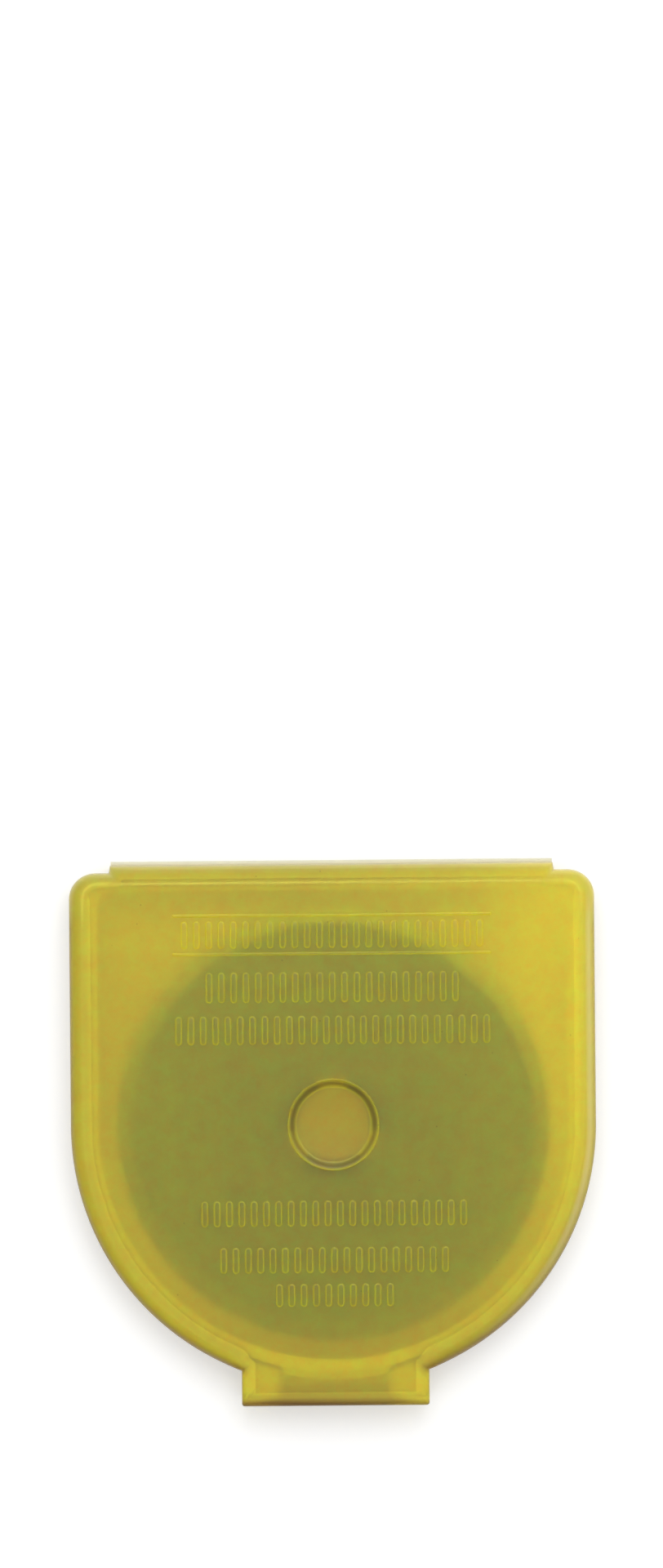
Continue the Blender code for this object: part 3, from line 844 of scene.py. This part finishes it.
def make_blade(material):
    """The disc: loops from the lobed hole out to the honed edge over the top, and back below."""
    angles = np.arange(BLADE_POINTS) * 360.0 / BLADE_POINTS
    turn = np.radians(angles)
    hole = hole_radius(angles)
    small = BLADE_CHAMFER

    def loop(share, radius, height):
        reach = hole + small * share if radius is None else np.full(BLADE_POINTS, radius)
        plan = np.column_stack([reach * np.cos(turn), reach * np.sin(turn)])
        return at(plan, BLADE_MIDDLE + height)

    top = [
        (0.0, None, BLADE_HALF - small),
        (1.0, None, BLADE_HALF),
        (0.0, BEVEL_START - 0.02, BLADE_HALF),
        (0.0, BEVEL_START + 0.02, BLADE_HALF - 0.003),
        (0.0, HONED_START, HONED_HALF),
        (0.0, BLADE_RADIUS, 0.0),
    ]
    rows = [loop(*row) for row in top]
    rows += [loop(share, radius, -height) for share, radius, height in top[-2::-1]]
    skin = Skin()
    first, last = skin.bands(rows)
    skin.add(np.stack([last, np.roll(last, -1), np.roll(first, -1), first], axis=1))
    return skin.build("ground_blade", material)


def new_material(name):
    """A material with a Principled shader, as its nodes, its links and that shader."""
    material = bpy.data.materials.new(name)
    material.use_nodes = True
    nodes, links = material.node_tree.nodes, material.node_tree.links
    return material, nodes, links, nodes["Principled BSDF"]


def new_group(name, inputs, outputs):
    """A shader node group with number inputs and their defaults, and outputs by kind of socket."""
    group = bpy.data.node_groups.new(name, "ShaderNodeTree")
    for label, value in inputs.items():
        socket = group.interface.new_socket(label, in_out="INPUT", socket_type="NodeSocketFloat")
        socket.default_value = value
    for label, kind in outputs.items():
        group.interface.new_socket(label, in_out="OUTPUT", socket_type=kind)
    nodes = group.nodes
    return group, nodes, group.links, nodes.new("NodeGroupInput"), nodes.new("NodeGroupOutput")


def noise(nodes, links, place, scale, detail=2.0, roughness=0.5):
    """A noise texture read at a place."""
    texture = nodes.new("ShaderNodeTexNoise")
    texture.inputs["Scale"].default_value = scale
    texture.inputs["Detail"].default_value = detail
    texture.inputs["Roughness"].default_value = roughness
    links.new(place, texture.inputs["Vector"])
    return texture.outputs["Fac"]


def feed(links, value, slot):
    """Links a socket into a slot, or sets the slot to a plain value."""
    if isinstance(value, bpy.types.NodeSocket):
        links.new(value, slot)
    else:
        slot.default_value = value


def math_node(nodes, links, operation, *values):
    """A Math node over sockets or plain numbers."""
    node = nodes.new("ShaderNodeMath")
    node.operation = operation
    for slot, value in zip(node.inputs, values, strict=False):
        feed(links, value, slot)
    return node.outputs[0]


def mix(nodes, links, factor, a, b, kind="RGBA", blend="MIX"):
    """A Mix node between two colours, or between two numbers where its kind is FLOAT."""
    node = nodes.new("ShaderNodeMix")
    node.data_type = kind
    node.blend_type = blend
    for label, value in (("Factor", factor), ("A", a), ("B", b)):
        feed(links, value, node.inputs[label])
    return node.outputs["Result"]


def map_range(nodes, links, value, start, end, low=0.0, high=1.0, way="LINEAR"):
    """A Map Range node: from low to high while the value goes from start to end, and level beyond."""
    node = nodes.new("ShaderNodeMapRange")
    node.interpolation_type = way
    for label, number in (("From Min", start), ("From Max", end), ("To Min", low), ("To Max", high)):
        node.inputs[label].default_value = number
    links.new(value, node.inputs["Value"])
    return node.outputs["Result"]


def bump(nodes, links, height, strength, distance, shader):
    """A Bump node from a height into a shader's normal."""
    node = nodes.new("ShaderNodeBump")
    node.inputs["Strength"].default_value = strength
    node.inputs["Distance"].default_value = distance
    links.new(height, node.inputs["Height"])
    links.new(node.outputs["Normal"], shader.inputs["Normal"])


def ramp(nodes, links, value, start, end, low, high):
    """A smooth ramp from low to high between two places in millimetres."""
    return map_range(nodes, links, value, start * MM, end * MM, low, high, "SMOOTHSTEP")


def moulded_grain_and_painted_shade():
    """A moulding's skin: satin grain and slow waves as a height, a drift of tint, rare specks, a shade.

    The painted shade is even but for a little more in front, more at the rear and most near its middle,
    and less towards the right wall. Depth scales it, and soft clouds are added everywhere.
    """
    number = "NodeSocketFloat"
    outputs = {"Height": number, "Drift": number, "Specks": number, "Shade": number}
    group, nodes, links, given, put = new_group("moulded_grain_and_painted_shade", {"Depth": 1.0}, outputs)

    def plus(a, b):
        return math_node(nodes, links, "ADD", a, b)

    def times(a, b):
        return math_node(nodes, links, "MULTIPLY", a, b)

    place = nodes.new("ShaderNodeTexCoord").outputs["Object"]
    grain = noise(nodes, links, place, scale=7000.0, detail=3.0, roughness=0.6)
    waves = noise(nodes, links, place, scale=220.0)
    links.new(plus(grain, waves), put.inputs["Height"])

    drift = noise(nodes, links, place, scale=560.0, detail=4.0, roughness=0.75)
    links.new(map_range(nodes, links, drift, 0.35, 0.65), put.inputs["Drift"])

    cells = nodes.new("ShaderNodeTexVoronoi")
    cells.inputs["Scale"].default_value = 520.0
    links.new(place, cells.inputs["Vector"])
    near = math_node(nodes, links, "LESS_THAN", cells.outputs["Distance"], 0.045)
    rare = math_node(nodes, links, "GREATER_THAN", cells.outputs["Color"], 0.55)
    links.new(times(near, rare), put.inputs["Specks"])

    # Painted shade, by place on the case.
    split = nodes.new("ShaderNodeSeparateXYZ")
    links.new(place, split.inputs[0])
    x, y = split.outputs["X"], split.outputs["Y"]
    rear = ramp(nodes, links, y, 19.0, 25.0, 0.0, 1.0)
    leftward = ramp(nodes, links, x, 30.0, -6.0, 0.0, REAR_SHADE)
    lighter = ramp(nodes, links, x, -22.0, -6.0, 0.65, 1.0)
    at_rear = times(rear, times(leftward, lighter))
    front = ramp(nodes, links, y, -9.0, -25.0, SIDE_SHADE, SIDE_SHADE + FRONT_SHADE)
    right = ramp(nodes, links, x, 12.0, 24.0, 0.0, -SIDE_SHADE)
    right = times(right, ramp(nodes, links, y, -14.0, 5.0, 0.25, 1.0))
    shade = times(plus(at_rear, plus(front, right)), given.outputs["Depth"])
    clouds = noise(nodes, links, place, scale=620.0, detail=3.0, roughness=0.6)
    clouds = map_range(nodes, links, clouds, 0.4, 0.65)
    links.new(plus(shade, times(clouds, CLOUD_SHARE)), put.inputs["Shade"])
    return group


def case_plastic(name, grain, roughness, deep, pale, transmission, depth=0.0, gloss=1.0):
    """Translucent plastic between two tints, shaded, with specks, brown and pale over them by shares."""
    material, nodes, links, shader = new_material(name)
    skin = nodes.new("ShaderNodeGroup")
    skin.node_tree = grain
    skin.inputs["Depth"].default_value = depth
    color = mix(nodes, links, skin.outputs["Drift"], deep, pale)
    # The painted shade darkens the tint.
    color = mix(nodes, links, skin.outputs["Shade"], color, PAINTED_SHADE_AND_CLOUDS, blend="MULTIPLY")
    specks = math_node(nodes, links, "MULTIPLY", skin.outputs["Specks"], SPECK_SHARE)
    color = mix(nodes, links, specks, color, BROWN)
    # Brown is the tint of much plastic and of painted shade, pale a painted highlight, each by its share.
    for label, tint in (("brown", BROWN), ("pale", PALE_RIM)):
        share = nodes.new("ShaderNodeAttribute")
        share.attribute_name = label
        color = mix(nodes, links, share.outputs["Fac"], color, tint)
    links.new(color, shader.inputs["Base Color"])
    bump(nodes, links, skin.outputs["Height"], 0.2, 0.00002, shader)
    values = {
        "Roughness": roughness,
        "IOR": 1.49,
        "Specular IOR Level": 0.2 + 0.2 * gloss,
        "Transmission Weight": transmission,
        "Coat Weight": 0.13 * gloss,
        "Coat Roughness": 0.14,
    }
    for label, value in values.items():
        shader.inputs[label].default_value = value
    return material


def ring_noise(nodes, links, radius, turn, across, along, detail):
    """Noise read at the radius times across, and at the cosine and sine of the way round times along."""
    place = nodes.new("ShaderNodeCombineXYZ")
    for value, scale, slot in zip((radius, *turn), (across, along, along), place.inputs, strict=True):
        links.new(math_node(nodes, links, "MULTIPLY", value, scale), slot)
    return noise(nodes, links, place.outputs[0], 1.0, detail, 0.8)


def ground_steel():
    """Tool steel: faces with a fine circular grain, lighter outwards, and a bevel ground across.

    The grain gives the bump and the roughness, and darkens the steel where it is high.
    """
    material, nodes, links, shader = new_material("ground_steel")
    place = nodes.new("ShaderNodeTexCoord").outputs["Object"]
    split = nodes.new("ShaderNodeSeparateXYZ")
    links.new(place, split.inputs[0])
    x, y = split.outputs["X"], split.outputs["Y"]
    squares = [math_node(nodes, links, "MULTIPLY", c, c) for c in (x, y)]
    radius = math_node(nodes, links, "SQRT", math_node(nodes, links, "ADD", *squares))
    turn = [math_node(nodes, links, "DIVIDE", c, radius) for c in (x, y)]
    rings = ring_noise(nodes, links, radius, turn, across=2000.0, along=0.9, detail=5.0)
    strokes = ring_noise(nodes, links, radius, turn, across=100.0, along=160.0, detail=3.0)
    bevel = math_node(nodes, links, "GREATER_THAN", radius, BEVEL_START * MM)
    height = mix(nodes, links, bevel, rings, strokes, kind="FLOAT")
    bump(nodes, links, height, 0.5, 0.00001, shader)
    rough = map_range(nodes, links, height, 0.0, 1.0, 0.16, 0.34)
    links.new(rough, shader.inputs["Roughness"])
    outward = map_range(nodes, links, radius, RING_RADIUS * MM, BEVEL_START * MM)
    steel = mix(nodes, links, outward, linear(*INNER_STEEL), linear(*OUTER_STEEL))
    steel = mix(nodes, links, bevel, steel, linear(*BEVEL_STEEL))
    high_grain = map_range(nodes, links, height, 0.4, 0.62)
    steel = mix(nodes, links, high_grain, steel, GRAIN_SHADE, blend="MULTIPLY")
    links.new(steel, shader.inputs["Base Color"])
    shader.inputs["Metallic"].default_value = 1.0
    return material


def make_floor():
    """A plain white floor, which the camera, mirrors and glass see a little brighter than its shade."""
    size, below = 1.5, -0.00005
    mesh = bpy.data.meshes.new("floor")
    corners = [(-size, -size), (size, -size), (size, size), (-size, size)]
    mesh.from_pydata([(x, y, below) for x, y in corners], [], [(0, 1, 2, 3)])
    material, nodes, links, shader = new_material("floor_white")
    shader.inputs["Base Color"].default_value = (0.78, 0.78, 0.78, 1.0)
    shader.inputs["Roughness"].default_value = 0.9
    shader.inputs["Specular IOR Level"].default_value = 0.0
    path = nodes.new("ShaderNodeLightPath")
    shader.inputs["Emission Color"].default_value = (1.0, 1.0, 1.0, 1.0)
    direct = math_node(nodes, links, "MULTIPLY", path.outputs["Is Camera Ray"], 0.38)
    other = math_node(
        nodes, links, "MAXIMUM", path.outputs["Is Glossy Ray"], path.outputs["Is Transmission Ray"]
    )
    through = math_node(nodes, links, "MULTIPLY", other, 0.69)
    glow = math_node(nodes, links, "ADD", direct, through)
    links.new(glow, shader.inputs["Emission Strength"])
    mesh.materials.append(material)
    floor = bpy.data.objects.new("floor", mesh)
    bpy.context.scene.collection.objects.link(floor)


def area_lamp(name, place, width, height, power):
    """A soft lamp that faces the case, so wide across and so high."""
    lamp = bpy.data.lights.new(name, "AREA")
    lamp.shape = "RECTANGLE"
    lamp.size = width
    lamp.size_y = height
    lamp.energy = power
    obj = bpy.data.objects.new(name, lamp)
    obj.location = place
    obj.rotation_euler = (-Vector(place)).to_track_quat("-Z", "Y").to_euler()
    bpy.context.scene.collection.objects.link(obj)


def light_scene():
    """A white sky, brighter beyond the hinge and to the right, a soft lamp there, a low one behind."""
    world = bpy.data.worlds.new("studio")
    world.use_nodes = True
    nodes, links = world.node_tree.nodes, world.node_tree.links
    way = nodes.new("ShaderNodeTexCoord").outputs["Generated"]
    towards = nodes.new("ShaderNodeVectorMath")
    towards.operation = "DOT_PRODUCT"
    towards.inputs[1].default_value = Vector((0.3, 1.0, 0.0)).normalized()
    links.new(way, towards.inputs[0])
    level = map_range(nodes, links, towards.outputs["Value"], -1.0, 1.0, 0.5, 1.05)
    links.new(level, nodes["Background"].inputs["Strength"])
    nodes["Background"].inputs["Color"].default_value = (1.0, 1.0, 1.0, 1.0)
    bpy.context.scene.world = world
    area_lamp("key", (0.035, 0.19, 0.42), 0.3, 0.3, 0.58)
    area_lamp("rear strip", (0.0, 0.75, 0.15), 1.2, 0.16, 0.6)


def place_camera():
    """The camera straight above, turned by a hair as the photograph is."""
    photo_scale = 11.79
    photo_width, photo_height = 812.0, 1920.0
    blade_x, blade_y = 408.4, 1377.2
    turn = math.radians(-0.5)
    camera = bpy.data.cameras.new("camera")
    camera.lens = 400.0
    camera.sensor_width = 36.0
    camera.clip_start = 0.01
    camera.clip_end = 10.0
    right = (photo_width / 2 - blade_x) / photo_scale * MM
    up = (blade_y - photo_height / 2) / photo_scale * MM
    distance = photo_height / photo_scale * MM * camera.lens / camera.sensor_width
    obj = bpy.data.objects.new("camera", camera)
    obj.location = (
        right * math.cos(turn) - up * math.sin(turn),
        right * math.sin(turn) + up * math.cos(turn),
        distance + LID_TOP * MM,
    )
    obj.rotation_euler = (0.0, 0.0, turn)
    bpy.context.scene.collection.objects.link(obj)
    bpy.context.scene.camera = obj


def main():
    bpy.context.scene.view_settings.view_transform = "Standard"
    place_camera()
    light_scene()
    make_floor()

    grain = moulded_grain_and_painted_shade()
    raised = case_plastic("raised_plastic", grain, 0.35, DEEP_AMBER, PALE_AMBER, 0.75, gloss=0.0)
    rim = case_plastic("rim_plastic", grain, 0.5, DEEP_AMBER, PALE_AMBER, 0.72)
    lid_plastic = case_plastic("lid_plastic", grain, 0.48, DEEP_AMBER, PALE_AMBER, 0.97)
    lid = make_lid(lid_plastic, raised, rim)
    base_plastic = case_plastic("base_plastic", grain, 0.55, DEEP_AMBER, PALE_AMBER, 0.97, depth=1.0)
    base = make_base(base_plastic, raised)
    strip, strip_middle, strip_bend = make_hinge_strip(
        case_plastic("hinge_plastic", grain, 0.4, PALE_HINGE, PALE_HINGE, 0.4)
    )
    blade = make_blade(ground_steel())

    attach(lid, "lid")
    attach(base, "base")
    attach(blade, "base")
    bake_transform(strip)
    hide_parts("case_lid")
    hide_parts("case_base")
    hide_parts("hinge_web")
    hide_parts("rotary_blade")


main()
